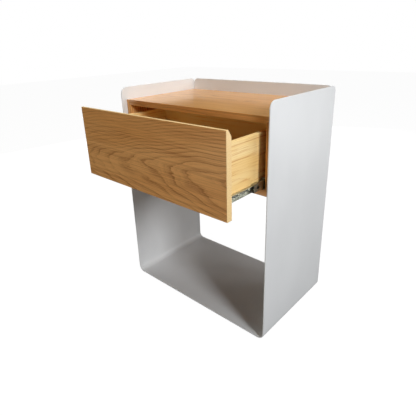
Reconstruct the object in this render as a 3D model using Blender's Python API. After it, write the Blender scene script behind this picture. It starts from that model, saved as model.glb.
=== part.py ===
"""Bedside table: a bent steel shell that carries an oak box with one drawer on ball slides.

Metres, +Z up, -Y is the front. The origin is on the floor, under the middle of the table as it
is modelled, with its drawer drawn out by DRAWN_OUT. Each piece hangs on the empty of what it moves
with, and is placed there by (x, depth, height): depth runs from the steel's front edge (0) to its
rear edge with the drawer closed, and height from the underside of the steel base.
"""
from math import cos, pi, radians, sin

import bmesh
import bpy
from mathutils import Matrix, Vector

for thing in list(bpy.data.objects):
    bpy.data.objects.remove(thing, do_unlink=True)

# Driving dimensions
WIDTH = 0.500                # over the steel sides
DEPTH = 0.300
STEEL_HEIGHT = 0.606
SHEET = 0.003                # steel thickness
BEND_RADIUS = 0.020          # outside of the two bends
FRONT_CORNER = 0.019         # rounding of a side's front top corner
REAR_CORNER = 0.014
GLIDE_HEIGHT = 0.004
RIM = 0.035                  # steel above the oak top
BOX_HEIGHT = 0.180
PANEL = 0.015                # oak thickness
BOX_SETBACK = 0.016          # box front behind the steel's front edge
FRONT_DROP = 0.004           # how far the drawer front hangs below the box
FRONT_SIDE_GAP = 0.00275
PULL = (0.009, 0.014)        # chamfer behind the drawer front's top edge: depth, height
DRAWN_OUT = 0.132            # drawer opening as modelled
SLIDE_LENGTH = 0.250         # also the full travel
SLIDE_SPACE = 0.0127         # between box side and drawer side
SLIDE_HEIGHT = 0.027
DRAWER_PANEL = 0.012
DRAWER_SIDE_HEIGHT = 0.126
DRAWER_LIFT = 0.003          # drawer above the box floor
FIT = 0.0003                 # gap between pieces that touch

# Levels and planes worked out from them
STEEL_INSIDE = WIDTH / 2 - SHEET
BOX_TOP = STEEL_HEIGHT - RIM
BOX_LOW = BOX_TOP - BOX_HEIGHT
BOX_HALF = STEEL_INSIDE - FIT
BOX_INSIDE = BOX_HALF - PANEL
BOX_REAR = DEPTH - SHEET - FIT
BACK_PANEL = 0.012
DRAWER_HALF = BOX_INSIDE - SLIDE_SPACE
DRAWER_LOW = BOX_LOW + PANEL + DRAWER_LIFT
SLIDE_LEVEL = BOX_LOW + PANEL + FIT + SLIDE_HEIGHT / 2
SLIDE_START = BOX_SETBACK + 0.002
SIDES = (("right", 1), ("left", -1))


def finish(name, colour, roughness, metallic=0.0):
    """A Principled material with one colour."""
    material = bpy.data.materials.new(name)
    material.use_nodes = True
    shader = material.node_tree.nodes["Principled BSDF"]
    shader.inputs["Base Color"].default_value = (*colour, 1.0)
    shader.inputs["Roughness"].default_value = roughness
    shader.inputs["Metallic"].default_value = metallic
    return material


WHITE_COAT = finish("white_powder_coat", (0.80, 0.81, 0.82), 0.45)
OAK = finish("oiled_oak", (0.42, 0.22, 0.09), 0.45)
PINE = finish("pale_pine", (0.68, 0.45, 0.20), 0.5)
ZINC = finish("zinc_plated_steel", (0.45, 0.46, 0.44), 0.35, 1.0)
SCREW_STEEL = finish("yellow_zinc_screw", (0.75, 0.65, 0.40), 0.3, 1.0)
NYLON = finish("grey_nylon", (0.25, 0.25, 0.26), 0.5)
BALL_STEEL = finish("ball_and_cage_steel", (0.55, 0.55, 0.55), 0.25, 1.0)


def group(name, share):
    """The empty that pieces move with, drawn out by a share of the drawer's opening."""
    empty = bpy.data.objects.new(name, None)
    bpy.context.collection.objects.link(empty)
    front_edge = (DRAWN_OUT - DEPTH) / 2
    empty.location = (0, front_edge - share * DRAWN_OUT, GLIDE_HEIGHT)
    return empty


CABINET = group("cabinet_group", 0)
DRAWER = group("drawer_group", 1)


def piece(name, shape, parent, material, place=(0, 0, 0), direction=(0, 0, 1)):
    """One object from a bmesh, at its place on its parent, with its +Z turned to a direction."""
    bmesh.ops.recalc_face_normals(shape, faces=shape.faces)
    mesh = bpy.data.meshes.new(name)
    shape.to_mesh(mesh)
    shape.free()
    mesh.materials.append(material)
    mesh.shade_smooth()
    mesh.set_sharp_from_angle(angle=radians(35))
    made = bpy.data.objects.new(name, mesh)
    bpy.context.collection.objects.link(made)
    made.parent = parent
    made.location = place
    made.rotation_euler = Vector((0, 0, 1)).rotation_difference(Vector(direction)).to_euler()
    return made


def extruded(points, along):
    """A closed flat outline, extruded by a vector."""
    shape = bmesh.new()
    outline = shape.faces.new([shape.verts.new(point) for point in points])
    swept = bmesh.ops.extrude_face_region(shape, geom=[outline])["geom"]
    moved = [part for part in swept if isinstance(part, bmesh.types.BMVert)]
    bmesh.ops.translate(shape, verts=moved, vec=along)
    return shape


def along_depth(outline, start, end):
    """An outline of (x, height), extruded from one depth to another."""
    return extruded([(x, start, height) for x, height in outline], (0, end - start, 0))


def across(outline, half):
    """An outline of (depth, height), extruded from x = -half to x = half."""
    return extruded([(-half, depth, height) for depth, height in outline], (2 * half, 0, 0))


def round_edges(shape, radius, segments, chosen):
    """Bevel the edges for which chosen(one end, other end) holds into arcs."""
    edges = [edge for edge in shape.edges if chosen(*(vertex.co for vertex in edge.verts))]
    bmesh.ops.bevel(shape, geom=edges, offset=radius, offset_type="OFFSET", segments=segments,
                    profile=0.5, affect="EDGES")


def board(name, x, depth, height, parent, material):
    """A rectangular board between pairs of limits, with its origin at its middle."""
    shape = bmesh.new()
    size = [high - low for low, high in (x, depth, height)]
    bmesh.ops.create_cube(shape, size=1.0, matrix=Matrix.Diagonal((*size, 1)))
    middle = [(low + high) / 2 for low, high in (x, depth, height)]
    return piece(name, shape, parent, material, middle)


def turned(profile, segments=12):
    """A profile of (distance, radius) spun round +Z, with flat ends."""
    shape = bmesh.new()
    points = [shape.verts.new((radius, 0, distance)) for distance, radius in profile]
    edges = [shape.edges.new(pair) for pair in zip(points, points[1:])]
    bmesh.ops.spin(shape, geom=points + edges, axis=(0, 0, 1), cent=(0, 0, 0), angle=2 * pi,
                   steps=segments, use_merge=True)
    bmesh.ops.holes_fill(shape, edges=[edge for edge in shape.edges if edge.is_boundary])
    return shape


def combine(target, operation, tool_name, shape):
    """A Boolean on a piece, with a bmesh in its parent's space as the tool."""
    tool = piece(tool_name, shape, target.parent, target.data.materials[0])
    tool.hide_render = True
    tool.display_type = "WIRE"
    boolean = target.modifiers.new(tool_name, "BOOLEAN")
    boolean.operation = operation
    boolean.object = tool


BORES = {}                   # piece name: the profiles, places and directions to cut from it


def fastener(name, profile, place, direction, parent, material, through, segments=12):
    """A turned fastener, and a bore with a fit gap in each piece that it goes through."""
    piece(name, turned(profile, segments), parent, material, place, direction)
    for pierced in through:
        BORES.setdefault(pierced, []).append((profile, place, direction))


def cut_bores():
    """Give every pierced piece its bores: each fastener's profile, grown by the fit gap."""
    past_the_face = 0.001
    for name, bores in BORES.items():
        tools = bmesh.new()
        for profile, place, direction in bores:
            grown = [(distance, radius + FIT) for distance, radius in profile]
            grown.insert(0, (grown[0][0] - past_the_face, grown[0][1]))
            grown.append((grown[-1][0] + FIT, grown[-1][1]))
            bore = turned(grown)
            turn = Vector((0, 0, 1)).rotation_difference(Vector(direction)).to_matrix().to_4x4()
            bore.transform(Matrix.Translation(place) @ turn)
            copied = bpy.data.meshes.new("bore")
            bore.to_mesh(copied)
            bore.free()
            tools.from_mesh(copied)
        combine(bpy.data.objects[name], "DIFFERENCE", f"bores_of_{name}", tools)


# ---- Steel ----

def steel_shell():
    """Left side, base and right side as one bent sheet, with rounded top corners."""
    outer_centre, steps = WIDTH / 2 - BEND_RADIUS, 8
    quarter = [-pi / 2 + pi / 2 * i / steps for i in range(steps + 1)]
    outer = [(outer_centre + BEND_RADIUS * cos(a), BEND_RADIUS + BEND_RADIUS * sin(a)) for a in quarter]
    within = BEND_RADIUS - SHEET
    inner = [(outer_centre + within * cos(a), BEND_RADIUS + within * sin(a)) for a in quarter]
    right = outer + [(WIDTH / 2, STEEL_HEIGHT), (STEEL_INSIDE, STEEL_HEIGHT)] + inner[::-1]
    left_outer = [(-x, z) for x, z in outer[::-1]]
    left_inner = [(-x, z) for x, z in inner]
    outline = right + left_inner + [(-STEEL_INSIDE, STEEL_HEIGHT), (-WIDTH / 2, STEEL_HEIGHT)] + left_outer
    shape = along_depth(outline, 0, DEPTH)
    for depth, radius in ((0, FRONT_CORNER), (DEPTH, REAR_CORNER)):
        round_edges(shape, radius, 8, lambda a, b: min(a.z, b.z) > STEEL_HEIGHT - FIT
                    and max(abs(a.y - depth), abs(b.y - depth)) < FIT)
    piece("steel_shell", shape, CABINET, WHITE_COAT)


def back_plate():
    """A flat sheet behind the box, level with the sides' tops, with rounded corners."""
    side_gap, top_corner, low_corner = 0.0015, 0.016, 0.003
    half = STEEL_INSIDE - side_gap
    shape = along_depth([(-half, BOX_LOW), (half, BOX_LOW), (half, STEEL_HEIGHT), (-half, STEEL_HEIGHT)],
                        DEPTH - SHEET, DEPTH)
    for height, radius in ((STEEL_HEIGHT, top_corner), (BOX_LOW, low_corner)):
        round_edges(shape, radius, 6, lambda a, b: abs(a.y - b.y) > SHEET / 2
                    and abs(a.z - height) < FIT)
    piece("back_plate", shape, CABINET, WHITE_COAT)


def glides():
    """Four low stick-on pads under the base, clear of the bends."""
    inset, radius, chamfer = 0.032, 0.011, 0.0008
    height = GLIDE_HEIGHT - FIT
    profile = [(0, radius), (height - chamfer, radius), (height, radius - chamfer)]
    for side, sign in SIDES:
        for end, depth in (("front", inset), ("rear", DEPTH - inset)):
            piece(f"glide_{end}_{side}", turned(profile, 16), CABINET, NYLON,
                  (sign * (WIDTH / 2 - inset), depth, -FIT), (0, 0, -1))


# ---- Oak box ----

def oak_box():
    """Four mitred panels, open at the front, with a back panel set between them."""
    h, w, joint = BOX_HALF, PANEL, FIT / 2
    high, low = BOX_TOP, BOX_LOW
    top = [(-h + joint, high), (-h + w + joint, high - w), (h - w - joint, high - w), (h - joint, high)]
    bottom = [(x, low + high - z) for x, z in top]
    right = [(h, low + joint), (h, high - joint), (h - w, high - w - joint), (h - w, low + w + joint)]
    left = [(-x, z) for x, z in right]
    for name, outline in (("top", top), ("bottom", bottom), ("right", right), ("left", left)):
        piece(f"box_{name}", along_depth(outline, BOX_SETBACK, BOX_REAR), CABINET, OAK)
    board("box_back", (-BOX_INSIDE + FIT, BOX_INSIDE - FIT), (BOX_REAR - BACK_PANEL, BOX_REAR),
          (low + w + FIT, high - w - FIT), CABINET, PINE)


def back_plate_screws():
    """Countersunk screws through the steel back plate into the box's back panel."""
    flush, from_middle, margin = 0.00005, 0.200, 0.032
    profile = [(0, 0.0038), (0.0022, 0.00175), (0.0095, 0.00175), (0.0110, 0.0006)]
    for side, sign in SIDES:
        for level, z in (("upper", BOX_TOP - margin), ("lower", BOX_LOW + margin)):
            fastener(f"back_screw_{level}_{side}", profile, (sign * from_middle, DEPTH - flush, z),
                     (0, -1, 0), CABINET, ZINC, ("back_plate", "box_back"))


def weld_studs():
    """Threaded studs welded inside the steel sides, with the nuts that hold the box to them."""
    level, nut_height = BOX_LOW + 0.120, 0.0035
    stud = [(0, 0.003), (0.0008, 0.003), (0.0009, 0.002), (0.0200, 0.002), (0.0205, 0.0016)]
    nut = [(0, 0.0042), (nut_height, 0.0042)]
    for side, sign in SIDES:
        inwards = (-sign, 0, 0)
        for end, depth in (("front", 0.060), ("rear", 0.240)):
            piece(f"nut_{end}_{side}", turned(nut, 6), CABINET, ZINC,
                  (sign * (BOX_INSIDE - FIT), depth, level), inwards)
            fastener(f"stud_{end}_{side}", stud, (sign * (STEEL_INSIDE - FIT), depth, level), inwards,
                     CABINET, ZINC, (f"box_{side}", f"nut_{end}_{side}"))


# ---- Drawer ----

def drawer():
    """A pine box with a bottom in grooves, behind an oak front with a finger chamfer."""
    box_face = PANEL + FIT
    rear = box_face + SLIDE_LENGTH + 0.002
    low, high, inside = DRAWER_LOW, DRAWER_LOW + DRAWER_SIDE_HEIGHT, DRAWER_HALF - DRAWER_PANEL
    lip, bottom, groove = 0.014, 0.005, 0.005
    pull_depth, pull_height = PULL
    front = [(0, BOX_LOW - FRONT_DROP), (PANEL, BOX_LOW - FRONT_DROP), (PANEL, BOX_TOP - pull_height),
             (PANEL - pull_depth, BOX_TOP), (0, BOX_TOP)]
    piece("drawer_front", across(front, STEEL_INSIDE - FRONT_SIDE_GAP), DRAWER, OAK)
    groove_low, groove_high = low + lip - FIT, low + lip + bottom + FIT
    side = [(inside, low), (DRAWER_HALF, low), (DRAWER_HALF, high), (inside, high),
            (inside, groove_high), (inside + groove + FIT, groove_high),
            (inside + groove + FIT, groove_low), (inside, groove_low)]
    for name, sign in SIDES:
        piece(f"drawer_side_{name}", along_depth([(sign * x, z) for x, z in side], box_face, rear),
              DRAWER, PINE)
    inner_rear = box_face + DRAWER_PANEL
    inner = [(box_face, low), (inner_rear, low), (inner_rear, groove_low),
             (inner_rear - groove - FIT, groove_low), (inner_rear - groove - FIT, groove_high),
             (inner_rear, groove_high), (inner_rear, high), (box_face, high)]
    piece("drawer_inner_front", across(inner, inside - FIT), DRAWER, PINE)
    board("drawer_back", (-inside + FIT, inside - FIT), (rear - DRAWER_PANEL, rear),
          (groove_high, high), DRAWER, PINE)
    board("drawer_bottom", (-inside - groove, inside + groove), (inner_rear - groove, rear),
          (low + lip, low + lip + bottom), DRAWER, PINE)
    head, from_middle = 0.0022, 0.150
    profile = [(0, 0.0028), (0.0006, 0.0038), (head, 0.0038), (head + 0.0001, 0.002),
               (0.0215, 0.002), (0.0235, 0.0006)]
    for name, sign in SIDES:
        for level, z in (("upper", low + 0.096), ("lower", low + 0.032)):
            fastener(f"front_screw_{level}_{name}", profile,
                     (sign * from_middle, inner_rear + FIT + head, z), (0, -1, 0),
                     DRAWER, ZINC, ("drawer_inner_front", "drawer_front"))


# ---- Ball slides; u runs from the box side (0) to the drawer side (SLIDE_SPACE) ----

MM = 0.001
# Rails: web (back, face) in u, flange tip in u, half height, inward lip at the tip
OUTER_RAIL = ((0.3 * MM, 1.3 * MM), 11.0 * MM, SLIDE_HEIGHT / 2, 2.9 * MM)
MIDDLE_RAIL = ((2.4 * MM, 3.3 * MM), 10.2 * MM, 10.0 * MM, 0)
INNER_RAIL = ((12.4 * MM, 11.4 * MM), 4.6 * MM, 7.0 * MM, 0)
MIDDLE_SHORTER = 0.027       # the middle rail starts this far behind the outer one
# Ball cages: web and flange tip in u, level of the balls, ball radius
OUTER_CAGE = ((1.6 * MM, 2.1 * MM), 8.5 * MM, 11.25 * MM, 1.0 * MM)
INNER_CAGE = ((3.6 * MM, 4.1 * MM), 9.0 * MM, 8.05 * MM, 0.75 * MM)
OUTER_CAGE_REACH = (0.072, 0.100)      # start behind the rails' start, and length
INNER_CAGE_REACH = (0.094, 0.080)
BALL_SPACING = 0.0115
BOX_SCREW_DEPTHS = (("front", 0.050), ("rear", 0.230))
BOX_SCREW_HEAD = 1.25 * MM             # flush with the web, in u
BOX_SCREW = ((0, 3.4 * MM), (1.65 * MM, 1.75 * MM), (12.0 * MM, 1.75 * MM), (13.2 * MM, 0.6 * MM))
DRAWER_SCREWS_ALONG = (0.048, 0.085, 0.108, 0.225)
DRAWER_SCREW_HEAD = 9.3 * MM           # in u
DRAWER_SCREW = ((0, 2.2 * MM), (0.7 * MM, 3.3 * MM), (1.8 * MM, 3.3 * MM), (1.9 * MM, 1.75 * MM),
                (10.8 * MM, 1.75 * MM), (12.0 * MM, 0.6 * MM))
ACCESS_HOLE = (0.015, 4.0 * MM)        # in the middle rail's web: distance along it, and radius


def slide_x(sign, u):
    return sign * (BOX_INSIDE - u)


def channel(sign, web, tip, half_height, lip, start, length):
    """A C-shaped rail with square flanges, which an inward lip may end."""
    back, face = web
    wall = abs(face - back)
    rim = tip - wall if tip > back else tip + wall
    h = half_height
    half = [(back, h), (tip, h), (tip, h - lip), (rim, h - lip), (rim, h - wall), (face, h - wall)]
    if lip <= wall:
        half = [(back, h), (tip, h), (tip, h - wall), (face, h - wall)]
    loop = half + [(u, -v) for u, v in reversed(half)]
    return along_depth([(slide_x(sign, u), SLIDE_LEVEL + v) for u, v in loop], start, start + length)


def ball_cage(name, sign, web, tip, level, ball, start, length, parent):
    """A thin C-shaped strip along both races, with the balls it holds joined to it."""
    arm = abs(web[1] - web[0])
    cage = piece(name, channel(sign, web, tip, level + arm / 2, arm, start, length), parent, BALL_STEEL)
    count = int(length / BALL_SPACING)
    spacing = length / count
    x = slide_x(sign, (web[1] + tip) / 2)
    balls = bmesh.new()
    for i in range(count):
        for height in (SLIDE_LEVEL + level, SLIDE_LEVEL - level):
            centre = Matrix.Translation((x, start + (i + 0.5) * spacing, height))
            bmesh.ops.create_uvsphere(balls, u_segments=8, v_segments=6, radius=ball, matrix=centre)
    combine(cage, "UNION", f"balls_of_{name}", balls)


def access_hole(rail, sign, start):
    """The round hole near the front of a middle rail, for driving the screws behind it."""
    along, radius = ACCESS_HOLE
    clear = MM
    back, face = MIDDLE_RAIL[0]
    hole = turned([(0, radius), (face - back + 2 * clear, radius)])
    turn = Vector((0, 0, 1)).rotation_difference(Vector((-sign, 0, 0))).to_matrix().to_4x4()
    hole.transform(Matrix.Translation((slide_x(sign, back - clear), start + along, SLIDE_LEVEL)) @ turn)
    combine(rail, "DIFFERENCE", f"access_hole_of_{rail.name}", hole)


def slides():
    """Three rails and two ball cages on each side; the middle rail travels half as far."""
    for side, sign in SIDES:
        middle_group = group(f"middle_rail_group_{side}", 1 / 2)
        outer_balls = group(f"outer_balls_group_{side}", 1 / 4)
        inner_balls = group(f"inner_balls_group_{side}", 3 / 4)
        piece(f"slide_outer_{side}", channel(sign, *OUTER_RAIL, SLIDE_START, SLIDE_LENGTH), CABINET, ZINC)
        middle_start = SLIDE_START + MIDDLE_SHORTER
        middle = piece(f"slide_middle_{side}",
                       channel(sign, *MIDDLE_RAIL, middle_start, SLIDE_LENGTH - MIDDLE_SHORTER),
                       middle_group, ZINC)
        access_hole(middle, sign, middle_start)
        piece(f"slide_inner_{side}", channel(sign, *INNER_RAIL, SLIDE_START, SLIDE_LENGTH), DRAWER, ZINC)
        for name, cage, (along, length), parent in (
                (f"ball_cage_outer_{side}", OUTER_CAGE, OUTER_CAGE_REACH, outer_balls),
                (f"ball_cage_inner_{side}", INNER_CAGE, INNER_CAGE_REACH, inner_balls)):
            ball_cage(name, sign, *cage, SLIDE_START + along, length, parent)
        for end, depth in BOX_SCREW_DEPTHS:
            fastener(f"box_slide_screw_{end}_{side}", BOX_SCREW,
                     (slide_x(sign, BOX_SCREW_HEAD), depth, SLIDE_LEVEL), (sign, 0, 0),
                     CABINET, SCREW_STEEL, (f"slide_outer_{side}", f"box_{side}"))
        for number, along in enumerate(DRAWER_SCREWS_ALONG, start=1):
            fastener(f"drawer_slide_screw_{number}_{side}", DRAWER_SCREW,
                     (slide_x(sign, DRAWER_SCREW_HEAD), SLIDE_START + along, SLIDE_LEVEL), (-sign, 0, 0),
                     DRAWER, SCREW_STEEL, (f"slide_inner_{side}", f"drawer_side_{side}"))


steel_shell()
back_plate()
glides()
oak_box()
back_plate_screws()
weld_studs()
drawer()
slides()
cut_bores()
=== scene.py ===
"""Bedside table: a bent white steel shell, an oiled oak box and a drawer drawn out on ball slides.

Metres, +Z up, -Y is the front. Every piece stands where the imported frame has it.
"""
from math import pi, radians

import bpy
import numpy as np
from mathutils import Matrix, Vector


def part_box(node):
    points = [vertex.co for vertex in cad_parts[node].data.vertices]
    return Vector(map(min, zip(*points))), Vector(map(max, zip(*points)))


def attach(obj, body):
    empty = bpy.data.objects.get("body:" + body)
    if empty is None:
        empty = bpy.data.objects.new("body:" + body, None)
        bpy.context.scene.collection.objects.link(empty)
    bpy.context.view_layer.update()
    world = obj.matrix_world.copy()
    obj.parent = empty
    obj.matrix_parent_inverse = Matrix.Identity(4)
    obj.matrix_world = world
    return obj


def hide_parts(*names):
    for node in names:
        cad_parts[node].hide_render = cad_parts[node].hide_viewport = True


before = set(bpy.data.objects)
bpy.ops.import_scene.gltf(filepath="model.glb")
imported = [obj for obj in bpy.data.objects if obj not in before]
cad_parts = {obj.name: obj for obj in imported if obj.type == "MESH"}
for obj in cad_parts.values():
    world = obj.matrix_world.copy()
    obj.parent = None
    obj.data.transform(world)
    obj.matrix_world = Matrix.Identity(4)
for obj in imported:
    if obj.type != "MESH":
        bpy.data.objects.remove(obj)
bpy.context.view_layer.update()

# ---- Steel shell ----
# Left side, base and right side are one 3 mm sheet, laser cut with rounded corners and bent twice.
# It is powder coated white in a satin finish, whose film rounds the cut edges and has a fine
# orange peel. The box hangs between its sides, and the base is the open shelf.

SHEET = 0.003
COATED_EDGE = 0.0009
COAT_DEEP, COAT_PALE = (0.77, 0.775, 0.78, 1), (0.80, 0.805, 0.81, 1)
CREASE = radians(35)
BEND_RADIUS = 0.020
FRONT_CORNER, REAR_CORNER = 0.019, 0.014
shell_low, shell_high = (np.array(corner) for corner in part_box("steel_shell"))


class Value:
    """A socket of a material's node. Arithmetic on it, with numbers or other Values, adds nodes."""

    def __init__(self, finish, socket):
        self.finish, self.socket = finish, socket

    def math(self, operation, *others, swap=False):
        inputs = [self, *others]
        if swap:
            inputs.reverse()
        return self.finish.node("ShaderNodeMath", {"operation": operation}, dict(enumerate(inputs)))

    def __add__(self, other):
        return self.math("ADD", other)

    def __sub__(self, other):
        return self.math("SUBTRACT", other)

    def __rsub__(self, other):
        return self.math("SUBTRACT", other, swap=True)

    def __mul__(self, other):
        return self.math("MULTIPLY", other)

    def __truediv__(self, other):
        return self.math("DIVIDE", other)

    def __pow__(self, other):
        return self.math("POWER", other)

    __radd__, __rmul__ = __add__, __mul__

    def between(self, low, high):
        """0 at low and 1 at high, eased at both ends."""
        return self.finish.node("ShaderNodeMapRange", {"interpolation_type": "SMOOTHSTEP"},
                                {"Value": self, "From Min": low, "From Max": high})


class Finish:
    """A material being made round one Principled shader."""

    def __init__(self, name, **constants):
        self.material = bpy.data.materials.new(name)
        self.material.use_nodes = True
        self.tree = self.material.node_tree
        self.shader = self.tree.nodes["Principled BSDF"]
        for socket, value in constants.items():
            self.shader.inputs[socket.replace("_", " ")].default_value = value

    def node(self, kind, settings, sockets, output=0):
        """Any node: its settings first, then the values or links of its sockets."""
        node = self.tree.nodes.new(kind)
        for setting, value in settings.items():
            setattr(node, setting, value)
        for name, value in sockets.items():
            self.feed(node.inputs[name], value)
        return Value(self, node.outputs[output])

    def feed(self, socket, value):
        """Link a Value to a socket, or set it."""
        if isinstance(value, Value):
            self.tree.links.new(value.socket, socket)
        else:
            socket.default_value = value

    def set(self, **sockets):
        """Feed the Principled shader's sockets."""
        for name, value in sockets.items():
            self.feed(self.shader.inputs[name.replace("_", " ")], value)

    def place(self):
        """The object coordinates, split into x, y and z."""
        where = self.node("ShaderNodeTexCoord", {}, {}, "Object")
        return [self.node("ShaderNodeSeparateXYZ", {}, {0: where}, axis) for axis in "XYZ"]

    def noise(self, stretched, detail=2.0, roughness=0.5):
        """Soft noise from 0 to 1 at three coordinates, each already scaled to its own fineness."""
        where = self.node("ShaderNodeCombineXYZ", {}, dict(enumerate(stretched)))
        return self.node("ShaderNodeTexNoise", {}, {"Vector": where, "Scale": 1.0, "Detail": detail,
                                                   "Roughness": roughness})

    def mixed(self, factor, first, second):
        """A colour between two, by a factor."""
        return self.node("ShaderNodeMix", {"data_type": "RGBA"}, {0: factor, 6: first, 7: second}, 2)

    def bumped(self, height, depth):
        """A normal from a height between 0 and 1 that stands for a depth in metres."""
        return self.node("ShaderNodeBump", {}, {"Height": height, "Distance": depth}, "Normal")


def powder_coat(name):
    """White satin powder coat: fine orange peel, and a faint unevenness in tone and gloss."""
    coat = Finish(name)
    x, y, z = coat.place()
    peel = coat.noise([x * 900, y * 900, z * 900], 1.0)
    drift = coat.noise([x * 9, y * 9, z * 5], 3.0)
    coat.set(Base_Color=coat.mixed(drift.between(0.3, 0.7), COAT_DEEP, COAT_PALE),
             Roughness=0.34 + drift * 0.08 + peel * 0.05, Normal=coat.bumped(peel, 0.00004))
    return coat.material


WHITE = powder_coat("white_powder_coat")


def piece(name, solids, normals=True):
    """One object from (points, faces, point normals) solids, shaded by those true normals. Without
    them it is shaded smooth up to a crease's angle."""
    points = np.concatenate([solid[0] for solid in solids])
    faces, first = [], 0
    for solid in solids:
        faces += [[first + i for i in face] for face in solid[1]]
        first += len(solid[0])
    mesh = bpy.data.meshes.new(name)
    mesh.from_pydata(points.tolist(), [], faces)
    mesh.shade_smooth()
    if normals:
        true_normals = np.concatenate([solid[2] for solid in solids])
        mesh.normals_split_custom_set_from_vertices(true_normals.tolist())
    else:
        mesh.set_sharp_from_angle(angle=CREASE)
    made = bpy.data.objects.new(name, mesh)
    bpy.context.scene.collection.objects.link(made)
    return made


def bands(rings):
    """Quads between neighbouring closed rings, each anticlockwise seen from the last one."""
    index = np.arange(rings.shape[0] * rings.shape[1]).reshape(rings.shape[:2])
    after = np.roll(index, -1, axis=1)
    return index, np.stack([index[:-1], after[:-1], after[1:], index[1:]], -1).reshape(-1, 4).tolist()


def bent_shell():
    """The sheet, from its flat outline. A point of the flat sheet is (s along the bends from the
    middle of the base, y from the front edge, h outwards from the sheet's middle). Bending turns
    it by a = (s - half base) / middle radius, held between 0 and a quarter turn:
    x = min(s, half base) + (middle radius + h) sin a, z = bend radius - (middle radius + h) cos a,
    plus whatever s has left above the bend. Each ring is the sheet's section at one station, a
    half round at the front rim and one at the rear rim."""
    width, depth, height = shell_high - shell_low
    half_base, middle = width / 2 - BEND_RADIUS, BEND_RADIUS - SHEET / 2
    bend_end = half_base + middle * pi / 2
    top = bend_end + height - BEND_RADIUS
    plain = np.concatenate([np.linspace(0, half_base, 7), np.linspace(half_base, bend_end, 18)[1:]])
    turn = np.radians(np.linspace(0, 90, 13))

    def rim(corner, front):
        s = np.concatenate([plain, top - corner * (1 - np.sin(turn))])
        inset = np.concatenate([0 * plain, corner * (1 - np.cos(turn))])
        out_s = np.concatenate([0 * plain, np.sin(turn)])
        out_y = np.concatenate([0 * plain + 1, np.cos(turn)]) * (-1 if front else 1)
        y = inset if front else depth - inset
        left, right = np.stack([-s, y, -out_s, out_y]), np.stack([s, y, out_s, out_y])
        return np.concatenate([left[:, :0:-1], right], 1)

    quarter = np.radians(np.linspace(0, 90, 5))
    around = np.concatenate([-quarter[::-1], quarter])
    side = np.concatenate([0 * quarter - 1, 0 * quarter + 1]) * (SHEET / 2 - COATED_EDGE)
    rings, normals = [], []
    for edge, angles, level in ((rim(FRONT_CORNER, True), around, side),
                                (rim(REAR_CORNER, False), around[::-1], side[::-1])):
        s, y, out_s, out_y = (part[:, None] for part in edge)
        inwards = COATED_EDGE * (1 - np.cos(angles))
        rings.append(np.stack([s - out_s * inwards, y - out_y * inwards,
                               level + COATED_EDGE * np.sin(angles) + 0 * s], -1))
        normals.append(np.stack([out_s * np.cos(angles), out_y * np.cos(angles),
                                 np.sin(angles) + 0 * s], -1))
    flat, flat_normals = np.concatenate(rings, 1), np.concatenate(normals, 1)
    s, y, h = np.moveaxis(flat, -1, 0)
    ns, ny, nh = np.moveaxis(flat_normals, -1, 0)
    sign = np.where(s < 0, -1.0, 1.0)
    length = np.abs(s)
    a = np.clip((length - half_base) / middle, 0, pi / 2)
    x = np.minimum(length, half_base) + (middle + h) * np.sin(a)
    z = BEND_RADIUS - (middle + h) * np.cos(a) + np.maximum(0, length - bend_end)
    points = np.stack([sign * x, shell_low[1] + y, shell_low[2] + z], -1)
    turned_s = ns * sign
    bent = np.stack([sign * (turned_s * np.cos(a) + nh * np.sin(a)), ny,
                     turned_s * np.sin(a) - nh * np.cos(a)], -1)
    index, faces = bands(points)
    half = points.shape[1] // 2
    for ring, forward in ((index[-1], True), (index[0], False)):
        for k in range(half - 1):
            quad = [int(ring[i]) for i in (k, k + 1, 2 * half - 2 - k, 2 * half - 1 - k)]
            faces.append(quad if forward else quad[::-1])
    return points.reshape(-1, 3), faces, bent.reshape(-1, 3)


shell = piece("shell", [bent_shell()])
shell.data.materials.append(WHITE)
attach(shell, "cabinet")
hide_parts("steel_shell")

# ---- Back plate ----
# A flat 3 mm plate behind the box, with the same white coat. Its rounded upper corners stand in
# the gallery, level with the sides, and four countersunk screws hold it to the box.

PLATE_TOP_CORNER, PLATE_LOW_CORNER = 0.016, 0.003


def rounded(corners, radii, steps=4):
    """A closed outline, anticlockwise, whose corners are arcs: points and outward normals. At each
    corner the normal turns from one side's to the next, and the point is the arc's centre plus
    the radius times the normal, or less it where the corner is hollow."""
    corners = np.asarray(corners, float)
    radii = np.broadcast_to(radii, len(corners))
    before = corners - np.roll(corners, 1, 0)
    before /= np.linalg.norm(before, axis=1)[:, None]
    after = np.roll(before, -1, 0)
    cross = before[:, 0] * after[:, 1] - before[:, 1] * after[:, 0]
    turn = np.arctan2(cross, (before * after).sum(1))
    way = np.sign(turn)
    start_normal = np.stack([before[:, 1], -before[:, 0]], -1)
    start = corners - before * (radii * np.tan(np.abs(turn) / 2))[:, None]
    centre = start - start_normal * (radii * way)[:, None]
    start_angle = np.arctan2(start_normal[:, 1], start_normal[:, 0])
    angle = start_angle[:, None] + turn[:, None] * np.linspace(0, 1, steps + 1)
    normals = np.stack([np.cos(angle), np.sin(angle)], -1)
    points = centre[:, None] + normals * (radii * way)[:, None, None]
    return points.reshape(-1, 2), normals.reshape(-1, 2)


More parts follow.
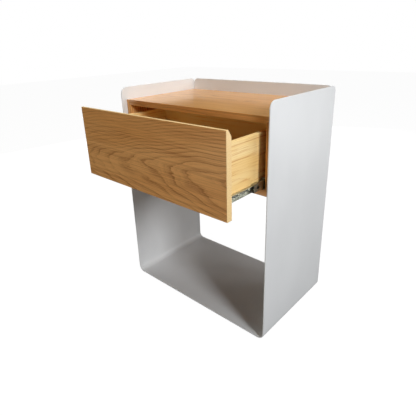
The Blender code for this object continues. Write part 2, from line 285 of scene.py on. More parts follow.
def rows_along(outline, axis, start, end, edge, between=(), steps=3):
    """An outline carried along an axis from start to end, as rings of points and normals. Its ends
    are eased by a radius: at angle t the outline is inset by edge (1 - cos t) and lies
    edge (1 - sin t) from the end. axis 1 takes (x, z) outlines seen from the front, and axis 0
    (y, z) outlines seen from the right. between adds rings on the way."""
    points, normals = outline
    easing = np.radians(np.linspace(90, 0, steps + 1))
    plain = np.zeros(len(between))
    t = np.concatenate([easing, plain, easing[::-1]])
    along = np.concatenate([start + edge * (1 - np.sin(easing)), between,
                            end - edge * (1 - np.sin(easing[::-1]))])
    lean = np.concatenate([-np.sin(easing), plain, np.sin(easing[::-1])])
    flat = points[None] - normals[None] * (edge * (1 - np.cos(t)))[:, None, None]
    tilt = normals[None] * np.cos(t)[:, None, None]
    carry, leaning = along[:, None] + np.zeros(len(points)), lean[:, None] + np.zeros(len(points))
    if axis == 1:
        rings, out = [flat[..., 0], carry, flat[..., 1]], [tilt[..., 0], leaning, tilt[..., 1]]
        return np.stack(rings, -1)[::-1], np.stack(out, -1)[::-1]
    rings, out = [carry, flat[..., 0], flat[..., 1]], [leaning, tilt[..., 0], tilt[..., 1]]
    return np.stack(rings, -1), np.stack(out, -1)


def closed(rings, normals):
    """A solid from rings: bands between them, and a flat face on each end."""
    index, faces = bands(rings)
    faces += [index[0, ::-1].tolist(), index[-1].tolist()]
    return rings.reshape(-1, 3), faces, normals.reshape(-1, 3)


def carried(outline, axis, start, end, edge):
    """A solid from an outline carried along an axis."""
    return closed(*rows_along(outline, axis, start, end, edge))


def oblong(low, high):
    """The four corners of a rectangle, anticlockwise."""
    return [(low[0], low[1]), (high[0], low[1]), (high[0], high[1]), (low[0], high[1])]


plate_low, plate_high = (np.array(corner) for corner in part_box("back_plate"))
plate_radii = (PLATE_LOW_CORNER, PLATE_LOW_CORNER, PLATE_TOP_CORNER, PLATE_TOP_CORNER)
plate_outline = rounded(oblong(plate_low[[0, 2]], plate_high[[0, 2]]), plate_radii, 10)
plate = piece("upstand", [carried(plate_outline, 1, plate_low[1], plate_high[1], COATED_EDGE)])
plate.data.materials.append(WHITE)
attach(plate, "cabinet")
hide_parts("back_plate")

# ---- Oak box ----
# Four oak panels, mitred at the corners, with the grain running round the box. They are oiled to a
# satin gloss, the top the glossiest. A hair line is left open at each mitre.

PANEL = 0.015
ARRIS = 0.0006
MITRE_LINE = 0.00016
HEART = 0.11
OAK_LIGHT, OAK_MID, OAK_DARK = (0.95, 0.495, 0.170, 1), (0.84, 0.395, 0.115, 1), (0.34, 0.118, 0.024, 1)
LIPPING_PALE, LIPPING_DEEP = (0.97, 0.72, 0.37, 1), (0.88, 0.59, 0.26, 1)


def oak(name, grain, across, through, heart, taper, slope=0.0, ring=0.0065, lipping=None,
        satin=0.35, figure=1.0):
    """Flat-sawn oak. Its rings lie round a heart line along the grain, through heart = (along,
    across, through). The line nears the face by taper, so that the rings meet the face in long
    arches, and it climbs the face by slope. A ring starts as a dark porous band and fades into
    paler late wood. Pores are fine dashes along the grain. lipping is a function of x, y, z that
    is 1 on strips of paler wood, satin the weight of the oil's gloss, and figure how strongly the
    rings show."""
    wood = Finish(name, Coat_Roughness=0.16, Coat_IOR=1.45, Specular_IOR_Level=0.3)
    place = wood.place()
    a, b, c = place[grain] - heart[0], place[across] - heart[1], place[through] - heart[2]
    sway = wood.noise([a * 4, b * 13, c * 13], 2.0)
    wobble = wood.noise([a * 14, b * 75, c * 75], 3.0, 0.65)
    jitter = wood.noise([a * 40, b * 500, c * 500], 2.0)
    deep = c + a * taper + (sway - 0.5) * 0.028
    drift = wood.noise([a * 4 + 9, b * 9, c * 9], 1.0)
    wide = b - a * slope + (drift - 0.5) * 0.026
    near_heart = 1 - (wide * wide).math("SQRT").between(0.015, 0.060)
    radius = ((wide * wide + deep * deep).math("SQRT")
              + (wobble - 0.5) * (near_heart * 0.0034 + 0.0009) + (jitter - 0.5) * 0.0004)
    phase = (radius / ring).math("FRACT")
    band = (1 - phase) ** 3.6 * phase.between(0.0, 0.10)
    finer = (radius / (ring * 0.37)).math("FRACT")
    fade = wood.noise([a * 4, b * 45, c * 45], 2.0).between(0.34, 0.62)
    streak = wood.noise([a * 12, b * 800, c * 800], 3.0).between(0.40, 0.70)
    fibre = wood.noise([a * 3, b * 330, c * 330], 3.0).between(0.42, 0.64)
    pores = wood.noise([a * 110, b * 2300, c * 2300], 2.0).between(0.55, 0.70)
    shade = wood.noise([a * 3, b * 15, c * 15], 2.0)
    dark = (band * (0.20 + fade * 0.60) + (1 - finer) ** 2.0 * fade * 0.20 + streak * 0.16
            + fibre * 0.30 + pores * (0.14 + band * 0.40)) * figure
    pale = wood.mixed(shade.between(0.28, 0.72), OAK_MID, OAK_LIGHT)
    colour = wood.mixed(dark.math("MINIMUM", 1.0), pale, OAK_DARK)
    if lipping:
        strip = wood.noise([a * 25, b * 500, c * 500], 2.0)
        solid = wood.mixed(strip.between(0.3, 0.7), LIPPING_DEEP, LIPPING_PALE)
        colour = wood.mixed(lipping(wood, *place), colour, solid)
    wood.set(Base_Color=colour, Roughness=0.42 + pores * 0.15 + streak * 0.06,
             Coat_Weight=satin - pores * 0.15,
             Normal=wood.bumped(1 - pores * 0.7 - band * 0.3, 0.00005))
    return wood.material


top_low, top_high = (np.array(corner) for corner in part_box("box_top"))
low_low, low_high = (np.array(corner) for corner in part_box("box_bottom"))
box_front, box_rear = top_low[1], top_high[1]
half, roof, ground = top_high[0], top_high[2], low_low[2]
box_face = half - PANEL
top_outline = [(-box_face, roof - PANEL), (box_face, roof - PANEL), (half, roof), (-half, roof)]
low_outline = [(-half, ground), (half, ground), (box_face, ground + PANEL), (-box_face, ground + PANEL)]
edge_high, edge_low = roof - MITRE_LINE, ground + MITRE_LINE
right_outline = [(half, edge_low), (half, edge_high), (box_face, edge_high - PANEL),
                 (box_face, edge_low + PANEL)]
left_outline = [(-x, z) for x, z in reversed(right_outline)]
for name, outline, finish in (
        ("top", top_outline, oak("oak_top", 0, 1, 2, (0.1, 0.09, roof - HEART), 0.05,
                                 satin=0.8, figure=0.75)),
        ("bottom", low_outline, oak("oak_bottom", 0, 1, 2, (-0.1, 0.03, ground + HEART), 0.05)),
        ("right", right_outline, oak("oak_right", 2, 1, 0, (0.5, 0.08, half - HEART), 0.06)),
        ("left", left_outline, oak("oak_left", 2, 1, 0, (0.5, 0.08, -half + HEART), 0.06))):
    section = rounded(outline, ARRIS / 2)
    panel = piece(f"panel_{name}", [carried(section, 1, box_front, box_rear, ARRIS / 2)])
    panel.data.materials.append(finish)
    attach(panel, "cabinet")
    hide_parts(f"box_{name}")

# ---- Box back ----
# A pale softwood panel set between the oak panels, which the back plate is screwed to.

PINE_PALE, PINE_MID, PINE_DARK = (0.97, 0.74, 0.36, 1), (0.92, 0.62, 0.24, 1), (0.60, 0.24, 0.045, 1)


def pine(name, grain, across, through, heart, streaks=None, tone=1.0):
    """Clear-lacquered softwood: close growth lines, each darkening slowly and ending sharply, and
    faint resin streaks. streaks is a function of x, y, z that is 1 on stronger ones. A tone below
    1 darkens the pale and mid colours, as painted shade for boards inside the drawer."""
    wood = Finish(name)
    place = wood.place()
    a, b, c = place[grain] - heart[0], place[across] - heart[1], place[through] - heart[2]
    sway = wood.noise([a * 6, b * 16, c * 16], 2.0)
    wide, deep = b + (sway - 0.5) * 0.02, c + a * 0.04
    ripple = wood.noise([a * 40, b * 200, c * 200], 2.0)
    radius = (wide * wide + deep * deep).math("SQRT") + (ripple - 0.5) * 0.0015
    line = (radius / 0.0030).math("FRACT") ** 3.0
    fibre = wood.noise([a * 30, b * 1500, c * 1500], 3.0)
    shade = wood.noise([a * 5, b * 25, c * 25], 2.0)
    pale, mid = ((*(part * tone for part in colour[:3]), 1) for colour in (PINE_PALE, PINE_MID))
    colour = wood.mixed(shade.between(0.3, 0.7), pale, mid)
    resin = wood.noise([a * 7, b * 190, c * 190], 3.0, 0.65).between(0.52, 0.70)
    dark = line * 0.30 + fibre.between(0.45, 0.8) * 0.22 + resin * 0.55
    if streaks:
        dark = dark + streaks(wood, *place) * 0.6
    colour = wood.mixed(dark.between(0.0, 1.0), colour, PINE_DARK)
    wood.set(Base_Color=colour, Roughness=0.38 + fibre * 0.12,
             Normal=wood.bumped(1 - fibre * 0.5, 0.00003))
    return wood.material


def board(name, node, axis, finish, body):
    """A plain board that fills a CAD board's box, carried along its grain's axis."""
    low, high = (np.array(corner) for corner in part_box(node))
    flat = [1 - axis, 2]
    section = rounded(oblong(low[flat], high[flat]), ARRIS)
    made = piece(name, [carried(section, axis, low[axis], high[axis], ARRIS * 0.8)])
    made.data.materials.append(finish)
    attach(made, body)
    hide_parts(node)


board("back_board", "box_back", 0, pine("pine_back_board", 0, 2, 1, (0, 0.42, 0.10)), "cabinet")

# ---- Drawer box ----
# Two sides, an inner front, a back and a thin bottom let into them, all of lacquered pine. The
# inner front, back and bottom are darkened with painted shade for the inside of the drawer, so the
# sides look the palest. The sides have resin streaks near the top edge and where the front meets them.

# Painted shade: the inner boards' pale and mid colours are multiplied by this, for the shade inside the
# drawer.
INSIDE_PAINTED_SHADE = 0.72
side_low, side_high = (np.array(corner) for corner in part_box("drawer_side_right"))


def side_streaks(wood, x, y, z):
    """One long streak just under the top edge and a short one lower down at the front."""
    drift = wood.noise([y * 9, z * 40, x * 3], 2.0) * 0.004
    upper = z - (side_high[2] - 0.006) + drift
    lower = z - (side_high[2] - 0.046) + drift
    long_streak = 1 - (upper * upper * 4e5).between(0.0, 1.0)
    near_front = 1 - y.between(side_low[1], side_low[1] + 0.05)
    short_streak = (1 - (lower * lower * 3e5).between(0.0, 1.0)) * near_front
    return long_streak * 0.8 + short_streak


for side in ("right", "left"):
    low, high = (np.array(corner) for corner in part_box(f"drawer_side_{side}"))
    finish = pine(f"pine_side_{side}", 1, 2, 0, (0, 0.44, low[0] - 0.07), side_streaks)
    board(f"drawer_wall_{side}", f"drawer_side_{side}", 1, finish, "drawer")
for name, node, wood, across, through, heart in (
        ("drawer_wall_front", "drawer_inner_front", "pine_inner_front", 2, 1, (0, 0.45, -0.02)),
        ("drawer_wall_back", "drawer_back", "pine_drawer_back", 2, 1, (0.1, 0.46, 0.02)),
        ("drawer_floor", "drawer_bottom", "pine_bottom", 1, 2, (0.05, 0.01, 0.30))):
    board(name, node, 0, pine(wood, 0, across, through, heart, tone=INSIDE_PAINTED_SHADE), "drawer")

# ---- Drawer front ----
# One oak board with its grain across the drawer, in long arches that open to the right. A chamfer
# behind its top edge is the finger pull. Its ends and top are lipped in paler solid oak.

PULL_DEPTH, PULL_HEIGHT = 0.009, 0.014
LIPPING = 0.0012
front_low, front_high = (np.array(corner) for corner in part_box("drawer_front"))


def front_lipping(wood, x, y, z):
    """1 on the outer skin of the ends, the top and the chamfer."""
    end = x.math("ABSOLUTE").between(front_high[0] - LIPPING, front_high[0] - LIPPING * 0.5)
    top = z.between(front_high[2] - LIPPING * 0.8, front_high[2] - LIPPING * 0.4)
    pull = z + (y - front_high[1]) * (PULL_HEIGHT / PULL_DEPTH)
    pull_foot = front_high[2] - PULL_HEIGHT
    chamfer = pull.between(pull_foot - LIPPING, pull_foot - LIPPING * 0.5)
    return end.math("MAXIMUM", top).math("MAXIMUM", chamfer)


front_corners = [(front_low[1], front_low[2]), (front_high[1], front_low[2]),
                 (front_high[1], front_high[2] - PULL_HEIGHT),
                 (front_high[1] - PULL_DEPTH, front_high[2]), (front_low[1], front_high[2])]
front_section = rounded(front_corners, 0.0010)
front = piece("front_board", [carried(front_section, 0, front_low[0], front_high[0], 0.0008)])
front.data.materials.append(oak("oak_front", 0, 2, 1, (0, front_high[2] - 0.128, front_low[1] + 0.10),
                                0.085, 0.05, 0.0054, front_lipping, figure=0.95))
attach(front, "drawer")
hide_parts("drawer_front")

# ---- Ball slides ----
# Three cold-rolled rails on each side, zinc plated. The outer rail is screwed to the box, the inner
# one to the drawer, and the middle one runs between them on two rows of balls. A hole in the middle
# rail's web lets a screwdriver through to the drawer's screws.

# web (back, face) from the box, where the flanges end, half height, lip, body
RAILS = {"outer": ((0.0003, 0.0013), 0.0110, 0.0135, 0.0029, "cabinet"),
         "middle": ((0.0024, 0.0033), 0.0102, 0.0100, 0.0, "middle_rail_{}"),
         "inner": ((0.0124, 0.0114), 0.0046, 0.0070, 0.0, "drawer")}
ACCESS_HOLE = (0.015, 0.004)    # from the rail's front end, radius
WEB_HALF = 0.0080
slide_low, slide_high = (np.array(corner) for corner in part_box("slide_outer_right"))
slide_level = (slide_low[2] + slide_high[2]) / 2


def zinc(name, colour, roughness=0.30):
    """Zinc plate drawn along the rail: fine lines, and cloudy patches from the bath."""
    plate = Finish(name, Metallic=1.0)
    x, y, z = plate.place()
    lines = plate.noise([x * 2500, y * 25, z * 2500], 2.0)
    cloud = plate.noise([x * 90, y * 90, z * 90], 3.0)
    pale = tuple(min(1.0, part * 1.3) for part in colour)
    plate.set(Base_Color=plate.mixed(cloud.between(0.3, 0.7), (*colour, 1), (*pale, 1)),
              Roughness=roughness - 0.06 + lines * 0.12 + cloud * 0.08,
              Normal=plate.bumped(lines, 0.00001))
    return plate.material


# Zinc plate, partly painted shade: the colour is darker than real zinc plate, so that the slides'
# shaded recesses look black.
SHADE_DARKENED_ZINC = zinc("zinc_plate", (0.42, 0.43, 0.38))


def rail_outline(sign, web, tip, reach, lip):
    """A C section with rolled corners, as (x, z). web is (back, face) across the slide space from
    the box, tip is where its flanges end, reach its half height, and lip turns the flanges in."""
    back, face = web
    wall = abs(face - back)
    inner = tip - wall if tip > back else tip + wall
    upper = [(back, reach), (tip, reach), (tip, reach - lip), (inner, reach - lip),
             (inner, reach - wall), (face, reach - wall)]
    radii = [wall * 1.2, wall * 0.9, wall * 0.45, wall * 0.45, wall * 0.25, wall * 0.6]
    if not lip:
        upper = [(back, reach), (tip, reach), (tip, reach - wall), (face, reach - wall)]
        radii = [wall * 1.2, wall * 0.45, wall * 0.45, wall * 0.6]
    loop = upper + [(u, -v) for u, v in reversed(upper)]
    corners = [(sign * (box_face - u), slide_level + v) for u, v in loop]
    radii = radii + radii[::-1]
    area = sum(p[0] * q[1] - q[0] * p[1] for p, q in zip(corners, corners[1:] + corners[:1]))
    return rounded(corners[::-1], radii[::-1]) if area < 0 else rounded(corners, radii)


def pierced_rail(outline, start, end, edge, along, radius):
    """A rail whose web has a round hole. The web is cut along its middle line, and the cut is opened
    into the hole: at a distance d along the rail from the hole's centre the hole's half height is
    h = sqrt(radius^2 - d^2), and a point of the web at height v, at most V, moves to
    h + v (1 - h / V) on its own side."""
    points, normals = outline
    steps = np.array([1.0, 0.7, 0.45, 0.25, 0.1, 0.0])
    new_points, new_normals, side = [], [], []
    for here, there, normal in zip(points, np.roll(points, -1, 0), normals):
        new_points.append(here[None])
        new_normals.append(normal[None])
        side.append([0.0])
        if (here[1] - slide_level) * (there[1] - slide_level) < 0:
            first = np.sign(here[1] - slide_level)
            levels = np.concatenate([first * steps, -first * steps[::-1]]) * WEB_HALF
            new_points.append(np.stack([here[0] + 0 * levels, slide_level + levels], -1))
            new_normals.append(np.repeat(normal[None], len(levels), 0))
            side.append(np.repeat([first, -first], len(steps)))
    points, normals = np.concatenate(new_points), np.concatenate(new_normals)
    side = np.concatenate(side)
    middle = start + along
    between = middle - radius * np.cos(np.linspace(0, pi, 25))
    rings, out = rows_along((points, normals), 1, start, end, edge, between)
    opening = np.sqrt(np.maximum(0, radius ** 2 - (rings[..., 1] - middle) ** 2))
    v = np.abs(rings[..., 2] - slide_level)
    moved = slide_level + side * (opening + v * (1 - opening / WEB_HALF))
    rings[..., 2] = np.where(side != 0, moved, rings[..., 2])
    count = len(side)
    cut = [k for k in range(count) if side[k] * side[(k + 1) % count] < 0]
    after_cut = [(k + 1) % count for k in cut]
    solid_points, faces, solid_normals = closed(rings, out)
    faces = [face for face in faces if len(face) > 4 or min(face) % count not in cut
             or max(face) % count not in after_cut]
    rows = np.flatnonzero(np.abs(rings[:, 0, 1] - middle) < radius * 1.0001)
    walls, wall_normals = [], []
    centre = len(rows) // 2
    for one, other in ((cut[0], after_cut[1]), (after_cut[0], cut[1])):
        wall = rings[rows][:, [one, other]]
        away = (wall - [0, middle, slide_level]) * [0, 1, 1] / -radius
        base = len(solid_points) + sum(len(w) for w in walls)
        quad = np.array([0, 1, 3, 2]) + base
        a, b, c = wall[centre, 0], wall[centre, 1], wall[centre + 1, 1]
        if np.dot(np.cross(b - a, c - b), away[centre, 0]) < 0:
            quad = quad[::-1]
        faces += (quad[None] + 2 * np.arange(len(rows) - 1)[:, None]).tolist()
        walls.append(wall.reshape(-1, 3))
        wall_normals.append(away.reshape(-1, 3))
    points = np.concatenate([solid_points, *walls])
    return points, faces, np.concatenate([solid_normals, *wall_normals])


for side, sign in (("right", 1), ("left", -1)):
    for rail, (web, tip, reach, lip, body) in RAILS.items():
        low, high = (np.array(corner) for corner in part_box(f"slide_{rail}_{side}"))
        outline, edge = rail_outline(sign, web, tip, reach, lip), abs(web[1] - web[0]) * 0.3
        if rail == "middle":
            solid = pierced_rail(outline, low[1], high[1], edge, *ACCESS_HOLE)
        else:
            solid = carried(outline, 1, low[1], high[1], edge)
        made = piece(f"rail_{rail}_{side}", [solid])
        made.data.materials.append(SHADE_DARKENED_ZINC)
        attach(made, body.format(side))
        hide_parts(f"slide_{rail}_{side}")

# ---- Ball cages ----
# Thin steel strips bent to a C, which keep the balls apart in the races between the rails.

# web (back, face) from the box, where the strip ends, the balls' level, their radius
CAGES = {"outer": ((0.0016, 0.0021), 0.0085, 0.01125, 0.00100),
         "inner": ((0.0036, 0.0041), 0.0090, 0.00805, 0.00075)}
BALL_SPACING = 0.0115
BALL_PLAY = 0.98
BRIGHT = zinc("bright_steel", (0.60, 0.60, 0.60), 0.22)


def sphere(centre, radius):
    """A ball: radius times (cos a cos b, sin a cos b, sin b)."""
    a = np.linspace(0, 2 * pi, 17)[:-1]
    b = np.radians(np.linspace(-89, 89, 11))[:, None]
    out = np.stack([np.cos(a) * np.cos(b), np.sin(a) * np.cos(b), np.sin(b) + 0 * a], -1)
    return closed(np.asarray(centre) + radius * out, out)


for side, sign in (("right", 1), ("left", -1)):
    for row, (web, tip, level, radius) in CAGES.items():
        low, high = (np.array(corner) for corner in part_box(f"ball_cage_{row}_{side}"))
        wall = abs(web[1] - web[0])
        strip = rail_outline(sign, web, tip, level + wall / 2, 0.0)
        solids = [carried(strip, 1, low[1], high[1], wall * 0.3)]
        count = int((high[1] - low[1]) / BALL_SPACING)
        x = sign * (box_face - (web[1] + tip) / 2)
        for y in low[1] + (np.arange(count) + 0.5) * (high[1] - low[1]) / count:
            solids += [sphere((x, y, slide_level + v), radius * BALL_PLAY) for v in (level, -level)]
        made = piece(f"balls_{row}_{side}", solids)
        made.data.materials.append(BRIGHT)
        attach(made, f"{row}_balls_{side}")
        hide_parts(f"ball_cage_{row}_{side}")

# ---- Screws ----
# Cross-recessed screws. Pan heads hold the inner rails to the drawer and the drawer front to its
# box, countersunk ones the outer rails and the back plate. The slides' screws are yellow zinc. The
# countersunk heads end 0.05 mm under faces that have no countersinks, so those heads don't show.

YELLOW_ZINC = zinc("yellow_zinc", (0.93, 0.86, 0.64), 0.45)
PITCH = 0.0013
TWIST = (90, 70, 50)
SCREW_KINDS = {
    # crown radius, dome, sides as (depth, radius), shank end, root, crest, cross (arm, width, depth)
    "pan": (0.00300, 0.00035,
            ((0.0007, 0.0033), (0.0012, 0.00335), (0.0018, 0.0033), (0.00185, 0.00175)),
            0.0120, 0.00130, 0.00175, (0.00185, 0.00034, 0.0011)),
    "flat": (0.00335, 0.0, ((0.00165, 0.00175),),
             0.0132, 0.00130, 0.00175, (0.00150, 0.00032, 0.0010)),
    "back": (0.00370, 0.0, ((0.0022, 0.00175),),
             0.0110, 0.00130, 0.00175, (0.00165, 0.00034, 0.0012)),
    "front": (0.00300, 0.0005,
              ((0.0006, 0.0037), (0.0014, 0.0038), (0.0022, 0.0038), (0.00225, 0.0020)),
              0.0235, 0.00150, 0.00200, (0.00200, 0.00038, 0.0012))}


def faced(rings, place, direction):
    """Rings round +z, turned so that +z is a direction, and moved to a place."""
    turn = np.array(Vector((0, 0, 1)).rotation_difference(Vector(direction)).to_matrix())
    return rings @ turn.T + np.array(place)


def threaded(start, end, root, crest, pitch, angle):
    """A thread's rings: the radius is the root plus a triangle wave, of z / pitch less the angle in
    turns, times the depth. The wave fades out over the last two pitches, to a point."""
    z = np.arange(start, end, pitch / 8)[:, None]
    phase = np.mod(z / pitch - angle / (2 * pi), 1.0)
    point = np.clip((end - z) / (2 * pitch), 0.25, 1.0)
    radius = (root + (crest - root) * (1 - np.abs(2 * phase - 1))) * point
    return np.stack([radius * np.cos(angle), radius * np.sin(angle), z + 0 * angle], -1)


def screw(kind, place, direction, twist):
    """A screw from its head's middle outwards, down its side and along its thread. Across the crown
    the depth is dome (r / crown radius)^2 plus the recess: a cross of two slots that narrow with
    depth."""
    crown, dome, side, end, root, crest, (arm, width, depth) = SCREW_KINDS[kind]
    angle = np.linspace(0, 2 * pi, 97)[:-1]
    r = np.linspace(0.00002, crown, 34)[:, None]
    p, q = np.abs(r * np.cos(angle + twist)), np.abs(r * np.sin(angle + twist))
    inside = np.maximum(np.minimum(arm - p, width - q), np.minimum(width - p, arm - q))
    top = dome * (r / crown) ** 2
    sunk = top + depth * np.clip(inside / (width * 0.8), 0, 1)
    rings = [np.stack([r * np.cos(angle), r * np.sin(angle), sunk], -1)]
    for z, radius in side:
        rings.append(np.stack([radius * np.cos(angle), radius * np.sin(angle),
                               z + 0 * angle], -1)[None])
    rings.append(threaded(side[-1][0] + PITCH / 4, end, root, crest, PITCH, angle))
    rings = faced(np.concatenate(rings), place, direction)
    return closed(rings, rings)


def fix(kind, node, finish, body, direction):
    """A screw in its CAD box: its head at the side of the box that it is driven from, and its cross
    turned by an angle that depends on its place."""
    low, high = (np.array(corner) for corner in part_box(node))
    direction = np.array(direction, float)
    place = (low + high) / 2
    axis = int(np.argmax(np.abs(direction)))
    place[axis] = (low if direction[axis] > 0 else high)[axis]
    made = piece(f"{node}_turned", [screw(kind, place, direction, float(place @ TWIST))], False)
    made.data.materials.append(finish)
    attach(made, body)
    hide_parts(node)


for side, sign in (("right", 1), ("left", -1)):
    for end in ("front", "rear"):
        fix("flat", f"box_slide_screw_{end}_{side}", YELLOW_ZINC, "cabinet", (sign, 0, 0))
    for number in range(1, 5):
        fix("pan", f"drawer_slide_screw_{number}_{side}", YELLOW_ZINC, "drawer", (-sign, 0, 0))
    for level in ("upper", "lower"):
        fix("front", f"front_screw_{level}_{side}", SHADE_DARKENED_ZINC, "drawer", (0, -1, 0))
        fix("back", f"back_screw_{level}_{side}", SHADE_DARKENED_ZINC, "cabinet", (0, -1, 0))

# ---- Weld studs and nuts ----
# M4 studs are welded inside the steel sides, and come through the oak into the box, where hexagon
# nuts hold the box up.

NUT_HEIGHT, NUT_CORNER, NUT_BORE = 0.0035, 0.0042, 0.0017
NUT_ARRIS = 0.0003
FLANGE = ((0.0, 0.0001), (0.0, 0.0029), (0.0002, 0.0030), (0.0008, 0.0030), (0.0009, 0.0020))
BLUNT_END = 12


def nut(place, direction):
    """A hexagon nut round its bore: the side's radius is apothem / cos(angle to the flat's middle),
    and a 30 degree cone takes the corners off both faces, down to a face of 1.02 apothem."""
    angle = np.linspace(0, 2 * pi, 121)[:-1]
    apothem = NUT_CORNER * np.cos(pi / 6)
    hexagon = apothem / np.cos(np.mod(angle, pi / 3) - pi / 6)
    cone = np.maximum(0, hexagon - apothem * 1.02) * np.tan(pi / 6)
    flat = np.minimum(hexagon, apothem * 1.02)
    bore, top = NUT_BORE + 0 * angle, NUT_HEIGHT + 0 * angle
    eased_bore = NUT_BORE + NUT_ARRIS + 0 * angle
    radius = np.stack([bore, eased_bore, flat, hexagon, hexagon, flat, eased_bore, bore])
    z = np.stack([NUT_ARRIS + 0 * angle, 0 * angle, 0 * angle, cone, NUT_HEIGHT - cone, top, top,
                  NUT_HEIGHT - NUT_ARRIS + 0 * angle])
    rings = faced(np.stack([radius * np.cos(angle), radius * np.sin(angle), z], -1), place, direction)
    index, faces = bands(rings)
    after = np.roll(index, -1, axis=1)
    faces += np.stack([index[-1], after[-1], after[0], index[0]], -1).tolist()
    return rings.reshape(-1, 3), faces


def stud(place, direction):
    """The weld flange, then an M4 thread of 0.7 mm pitch. Its point is cut off, for a blunt end."""
    angle = np.linspace(0, 2 * pi, 49)[:-1]
    rings = [np.stack([radius * np.cos(angle), radius * np.sin(angle), z + 0 * angle], -1)[None]
             for z, radius in FLANGE]
    rings.append(threaded(0.0010, 0.0204, 0.00170, 0.00198, 0.0007, angle)[:-BLUNT_END])
    rings = faced(np.concatenate(rings), place, direction)
    return closed(rings, rings)


for side, sign in (("right", 1), ("left", -1)):
    for end in ("front", "rear"):
        for node, make in ((f"nut_{end}_{side}", nut), (f"stud_{end}_{side}", stud)):
            low, high = (np.array(corner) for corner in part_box(node))
            place = (low + high) / 2
            place[0] = high[0] if sign > 0 else low[0]
            made = piece(f"{node}_turned", [make(place, (-sign, 0, 0))], False)
            made.data.materials.append(SHADE_DARKENED_ZINC)
            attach(made, "cabinet")
            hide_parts(node)

# ---- Glides ----
# Four low moulded nylon pads stuck under the base. The edge they stand on is rounded, and the
# upper one has a small arris.

GLIDE_FACE, GLIDE_ROUND, GLIDE_ARRIS = 0.93, 0.0008, 0.0003
NYLON_DEEP, NYLON_PALE = (0.11, 0.11, 0.115, 1), (0.16, 0.16, 0.165, 1)


def nylon():
    """Grey nylon with a faint moulded grain."""
    pad = Finish("grey_nylon")
    x, y, z = pad.place()
    grain = pad.noise([x * 1800, y * 1800, z * 1800], 2.0)
    scuff = pad.noise([x * 300, y * 300, z * 40], 3.0)
    pad.set(Base_Color=pad.mixed(scuff.between(0.3, 0.75), NYLON_DEEP, NYLON_PALE),
            Roughness=0.48 + scuff * 0.18, Normal=pad.bumped(grain, 0.00003))
    return pad.material


NYLON = nylon()
for side in ("right", "left"):
    for end in ("front", "rear"):
        node = f"glide_{end}_{side}"
        low, high = (np.array(corner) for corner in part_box(node))
        middle, radius, height = (low + high) / 2, (high[0] - low[0]) / 2, high[2] - low[2]
        angle = np.linspace(0, 2 * pi, 65)[:-1]
        ease = np.radians(np.linspace(0, 90, 6))
        r = np.concatenate([[0.0001, radius * GLIDE_FACE], radius - GLIDE_ROUND * (1 - np.sin(ease)),
                            [radius, radius - GLIDE_ARRIS, 0.0001]])[:, None]
        z = np.concatenate([[0.0, 0.0], GLIDE_ROUND * (1 - np.cos(ease)),
                            [height - GLIDE_ARRIS, height, height]])[:, None]
        rings = np.stack([middle[0] + r * np.cos(angle), middle[1] + r * np.sin(angle),
                          low[2] + z + 0 * angle], -1)
        made = piece(f"pad_{end}_{side}", [closed(rings, rings)], False)
        made.data.materials.append(NYLON)
        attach(made, "cabinet")
        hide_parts(node)

# ---- The room ----
# A pale floor and white surroundings. The main light stands on the right, a little in front. Three
# weaker ones fill the right side from the rear, two low ones the left side and the back, one hangs
# overhead, and a low wide one in front fills the drawer front.

FLOOR_HALF = 8.0
scene = bpy.context.scene
scene.view_settings.view_transform = "Standard"
floor_mesh = bpy.data.meshes.new("floor")
floor_corners = [(x, y, 0) for x, y in oblong((-FLOOR_HALF, -FLOOR_HALF), (FLOOR_HALF, FLOOR_HALF))]
floor_mesh.from_pydata(floor_corners, [], [(0, 1, 2, 3)])
floor = bpy.data.objects.new("floor", floor_mesh)
scene.collection.objects.link(floor)
floor_finish = Finish("pale_floor", Base_Color=(0.10, 0.10, 0.10, 1), Roughness=1.0,
                      Specular_IOR_Level=0.0, Emission_Color=(1, 1, 1, 1))
seen = floor_finish.node("ShaderNodeLightPath", {}, {}, "Is Camera Ray")
floor_finish.set(Emission_Strength=seen * 0.97)
floor.data.materials.append(floor_finish.material)

world = bpy.data.worlds.new("room")
scene.world = world
world.use_nodes = True
world_tree = world.node_tree
background = world_tree.nodes["Background"]
world_seen = world_tree.nodes.new("ShaderNodeLightPath")
seen_or_felt = world_tree.nodes.new("ShaderNodeMix")
seen_or_felt.data_type = "RGBA"
seen_or_felt.inputs[6].default_value = (0.03, 0.027, 0.022, 1)
seen_or_felt.inputs[7].default_value = (1, 1, 1, 1)
world_tree.links.new(world_seen.outputs["Is Camera Ray"], seen_or_felt.inputs[0])
world_tree.links.new(seen_or_felt.outputs[2], background.inputs["Color"])


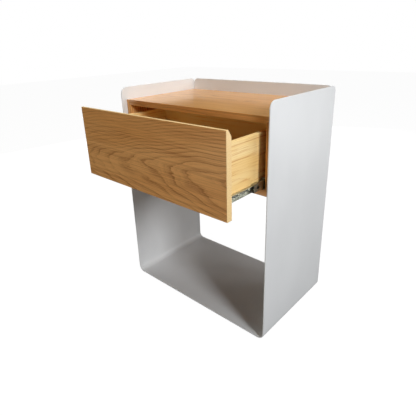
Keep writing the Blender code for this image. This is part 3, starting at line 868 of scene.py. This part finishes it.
def softbox(name, place, target, size, power, colour=(1, 1, 1)):
    """A rectangular area light at a place, turned to a target."""
    lamp = bpy.data.lights.new(name, "AREA")
    lamp.shape, lamp.size, lamp.size_y = "RECTANGLE", size[0], size[1]
    lamp.energy, lamp.color = power, colour
    made = bpy.data.objects.new(name, lamp)
    scene.collection.objects.link(made)
    made.visible_camera = False
    made.location = place
    made.rotation_euler = (Vector(target) - Vector(place)).to_track_quat("-Z", "Y").to_euler()


softbox("key", (1.747, -0.534, 1.163), (0, 0, 0.35), (0.35, 0.5), 21.5, (0.96, 0.98, 1.0))
softbox("side", (1.742, 0.634, 1.10), (0, 0, 0.20), (0.4, 0.3), 5.5)
softbox("rear_side", (1.461, 1.142, 1.10), (0, 0, 0.20), (0.4, 0.3), 4.2)
softbox("low_rear", (1.4, 1.5, 0.2), (0, 0.1, 0.20), (0.8, 0.3), 2.8)
softbox("left", (-2.2, 0.35, 0.28), (0, 0.1, 0.30), (1.2, 0.5), 16)
softbox("behind", (-0.9, 2.3, 0.15), (0, 0.2, 0.50), (1.2, 0.2), 7)
softbox("overhead", (0.0, -0.1, 2.0), (0, 0, 0.35), (0.8, 0.8), 17, (0.97, 1.0, 0.98))
softbox("fill", (-0.2, -1.9, 0.14), (0, -0.1, 0.40), (1.2, 0.2), 8.5, (1.0, 0.95, 0.87))

# ---- Camera ----
# It stands to the table's front right and looks down on it by 21 degrees. Its height and its
# distance in front are from the shell's lowest front edge. It is rolled a little, its lens shifted.

lens = bpy.data.cameras.new("camera")
lens.sensor_width, lens.lens = 36.0, 32.04
lens.shift_x, lens.shift_y = 0.0080, -0.0565
camera = bpy.data.objects.new("camera", lens)
scene.collection.objects.link(camera)
turn, drop, roll = radians(43.008), radians(21.079), radians(-1.944)
camera.matrix_world = (Matrix.Translation((0.65492, shell_low[1] - 0.63324, shell_low[2] + 0.71919))
                       @ Matrix.Rotation(turn, 4, "Z") @ Matrix.Rotation(pi / 2 - drop, 4, "X")
                       @ Matrix.Rotation(roll, 4, "Z"))
scene.camera = camera
